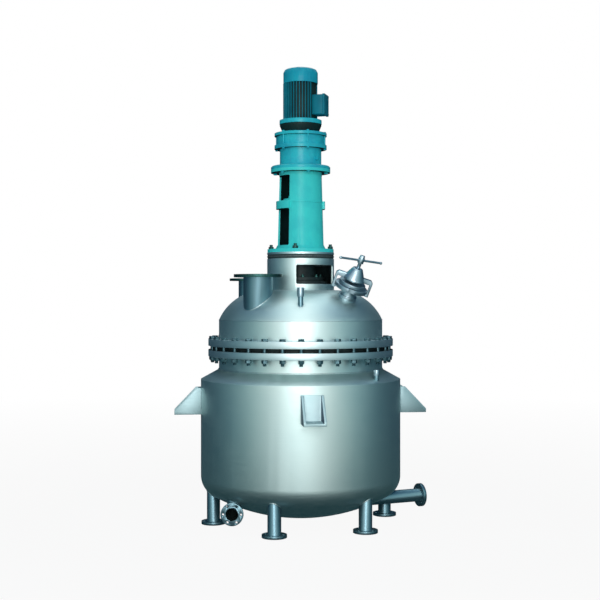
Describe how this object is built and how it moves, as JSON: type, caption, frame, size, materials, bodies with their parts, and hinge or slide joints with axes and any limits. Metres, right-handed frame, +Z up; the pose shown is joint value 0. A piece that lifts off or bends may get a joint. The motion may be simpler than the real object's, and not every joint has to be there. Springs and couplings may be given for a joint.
{
  "type": "reaction kettle",
  "caption": "Jacketed stirred reaction kettle with a domed lid, flanged nozzles, quick-opening handhole and a top-mounted geared motor drive.",
  "frame": {"origin": "on the vessel's axis, in the plane that the feet stand on", "axes": "+Z up along the vessel's axis, -Y towards the front lug, +X to the right as seen from the front"},
  "size_m": [1.4183, 1.404, 2.517],
  "materials": {
    "clad_steel": "satin brushed",
    "satin_steel": "satin brushed",
    "polished_steel": "fine turned",
    "drive_paint": "semi-gloss enamel",
    "motor_paint": "semi-gloss enamel",
    "bolt_steel": "blackened steel",
    "gasket_sheet": "matte sheet",
    "machined_steel": "ground",
    "fan_plastic": "moulded"
  },
  "bodies": {
    "kettle": {"jacket_shell": "clad_steel", "inner_vessel": "satin_steel", "vessel_flange": "satin_steel", "main_gasket": "gasket_sheet", "lid_flange": "satin_steel", "lid_dome": "satin_steel", "main_flange_bolts": "bolt_steel", "lug_front": "satin_steel", "lug_right": "satin_steel", "lug_rear": "satin_steel", "lug_left": "satin_steel", "leg_1": "satin_steel", "leg_2": "satin_steel", "leg_3": "satin_steel", "leg_4": "satin_steel", "leg_5": "satin_steel", "leg_6": "satin_steel", "side_nozzle": "satin_steel", "outlet_elbow": "satin_steel", "jacket_filler_nipple": "satin_steel", "jacket_filler_cap": "polished_steel", "vapour_nozzle": "satin_steel", "charge_nozzle": "satin_steel", "thermometer_nipple": "satin_steel", "thermometer_cap": "polished_steel", "neck_pedestal": "satin_steel", "neck_gaskets": "gasket_sheet", "neck_spacer": "satin_steel", "adaptor_plate": "satin_steel", "drive_frame": "drive_paint", "frame_base_bolts": "bolt_steel", "frame_head_bolts": "bolt_steel", "frame_bearing_housing": "drive_paint", "frame_bearing": "machined_steel", "seal_seat": "polished_steel", "seal_body": "polished_steel", "seal_bolts": "bolt_steel", "reducer_base": "drive_paint", "reducer_bearings": "machined_steel", "pin_gear_ring": "drive_paint", "ring_pins": "machined_steel", "reducer_cover": "drive_paint", "reducer_bolts": "bolt_steel", "motor_flange": "motor_paint", "motor_frame": "motor_paint", "terminal_box": "motor_paint", "fan_cowl": "motor_paint", "handhole_nozzle": "satin_steel", "handhole_gasket": "gasket_sheet"},
    "agitator": {"agitator_shaft": "polished_steel", "anchor_impeller": "polished_steel", "shaft_coupling": "machined_steel", "output_carrier": "machined_steel"},
    "motor_rotor": {"motor_rotor": "machined_steel", "cooling_fan": "fan_plastic"},
    "cycloid_a": {"cycloid_disc_a": "machined_steel"},
    "cycloid_b": {"cycloid_disc_b": "machined_steel"},
    "handhole_bridge": {"handhole_bridge": "polished_steel"},
    "handhole_cover": {"handhole_cover": "polished_steel"},
    "handhole_screw": {"handhole_screw": "polished_steel"}
  },
  "joints": [
    {"name": "agitator_spin", "type": "hinge", "parent": "kettle", "child": "agitator", "pos_m": [0, 0, 1.866], "axis": [0, 0, 1], "continuous": true},
    {"name": "motor_spin", "type": "hinge", "parent": "kettle", "child": "motor_rotor", "pos_m": [0, 0, 2.3], "axis": [0, 0, 1], "continuous": true},
    {"name": "cycloid_a_spin", "type": "hinge", "parent": "motor_rotor", "child": "cycloid_a", "pos_m": [0.005, 0, 2.103], "axis": [0, 0, 1], "continuous": true},
    {"name": "cycloid_b_spin", "type": "hinge", "parent": "motor_rotor", "child": "cycloid_b", "pos_m": [-0.005, 0, 2.126], "axis": [0, 0, 1], "continuous": true},
    {"name": "bridge_turn", "type": "hinge", "parent": "kettle", "child": "handhole_bridge", "pos_m": [0.24056, -0.28668, 1.29426], "axis": [0.2918, -0.3478, 0.891], "range_deg": [0, 90]},
    {"name": "cover_lift", "type": "slide", "parent": "handhole_bridge", "child": "handhole_cover", "axis": [0.2918, -0.3478, 0.891], "range_m": [0, 0.012]},
    {"name": "screw_turn", "type": "hinge", "parent": "handhole_cover", "child": "handhole_screw", "pos_m": [0.28754, -0.34268, 1.43771], "axis": [0.2918, -0.3478, 0.891], "range_deg": [0, 1080]}
  ],
  "couplings": [
    {"joint": "motor_spin", "follows": "agitator_spin", "ratio": -11},
    {"joint": "cycloid_a_spin", "follows": "agitator_spin", "ratio": 12},
    {"joint": "cycloid_b_spin", "follows": "agitator_spin", "ratio": 12},
    {"joint": "cover_lift", "follows": "screw_turn", "m_per_rad": 0.00063662}
  ]
}
